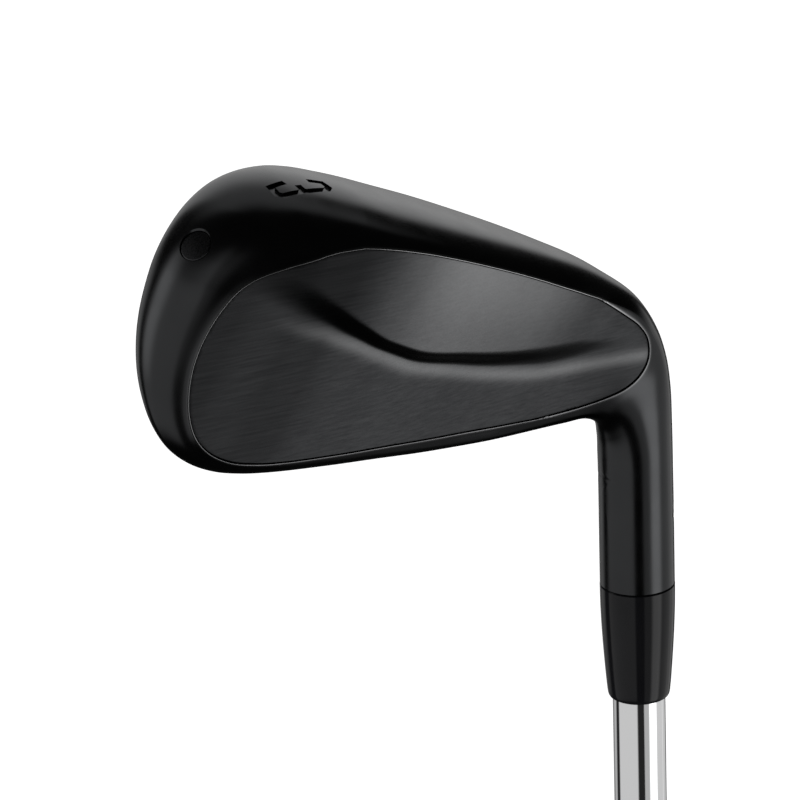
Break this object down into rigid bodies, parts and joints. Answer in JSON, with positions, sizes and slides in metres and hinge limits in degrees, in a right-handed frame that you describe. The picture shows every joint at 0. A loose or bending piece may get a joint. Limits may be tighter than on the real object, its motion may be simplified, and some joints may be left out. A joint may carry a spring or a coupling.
{
  "type": "iron golf club",
  "caption": "Right-handed long iron with a hollow black muscle-back head, stepped chromed shaft, gloss ferrule and tapered rubber grip, stored head up.",
  "frame": {"origin": "centre of the grip's butt face, on the shaft axis", "axes": "+Z along the shaft axis from the butt to the head; toe towards -X; back of the head towards -Y; hitting face towards +Y"},
  "size_m": [0.1072, 0.0341, 1.0218],
  "materials": {
    "satin_black_steel": "satin",
    "brushed_black_steel": "satin",
    "face_black_steel": "satin",
    "plug_black_steel": "satin",
    "tungsten_grey": "satin",
    "chromed_steel": "polished",
    "brass": "satin",
    "epoxy_amber": "satin",
    "gloss_black_plastic": "gloss",
    "tape_white": "matte",
    "black_rubber": "matte",
    "band_grey": "satin"
  },
  "bodies": {
    "root": {"head_body": "satin_black_steel", "back_plate": "brushed_black_steel", "face_plate": "face_black_steel", "toe_plug": "plug_black_steel", "toe_weight": "tungsten_grey", "shaft": "chromed_steel", "tip_pin": "brass", "hosel_bond": "epoxy_amber", "ferrule": "gloss_black_plastic", "grip_tape": "tape_white", "grip": "black_rubber", "shaft_band": "band_grey"}
  },
  "joints": []
}
